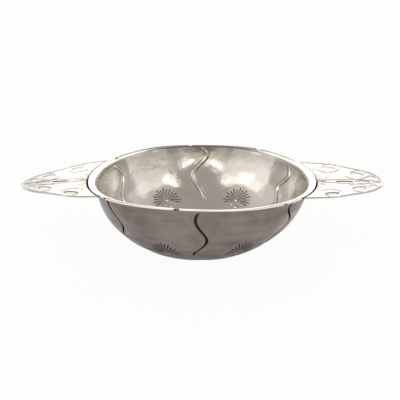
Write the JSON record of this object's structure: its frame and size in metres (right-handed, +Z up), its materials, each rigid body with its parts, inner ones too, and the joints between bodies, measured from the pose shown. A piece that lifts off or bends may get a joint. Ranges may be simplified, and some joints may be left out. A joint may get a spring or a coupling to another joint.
{
  "type": "two-handled bowl",
  "caption": "Oval lobed metal bowl with wavy chased ribs, a rim band that is broad at the ends, and a pierced ear handle soldered to it at each end.",
  "frame": {"origin": "on the floor plane, under the middle of the rim", "axes": "+X along the length, through the right-hand handle; +Y to the far long side; +Z up, out of the bowl's mouth"},
  "size_m": [0.2408, 0.1222, 0.0514],
  "materials": {
    "body_silver": "hammered and chased silver sheet, softly polished, darkened in the chased lines",
    "rim_silver": "bright polished silver band",
    "handle_silver": "bright cast silver, polished on the high parts",
    "solder": "dull silver solder"
  },
  "bodies": {
    "root": {"bowl_body": "body_silver", "rim_band": "rim_silver", "handle_left": "handle_silver", "handle_right": "handle_silver", "solder_fillet_left": "solder", "solder_fillet_right": "solder"}
  },
  "joints": []
}
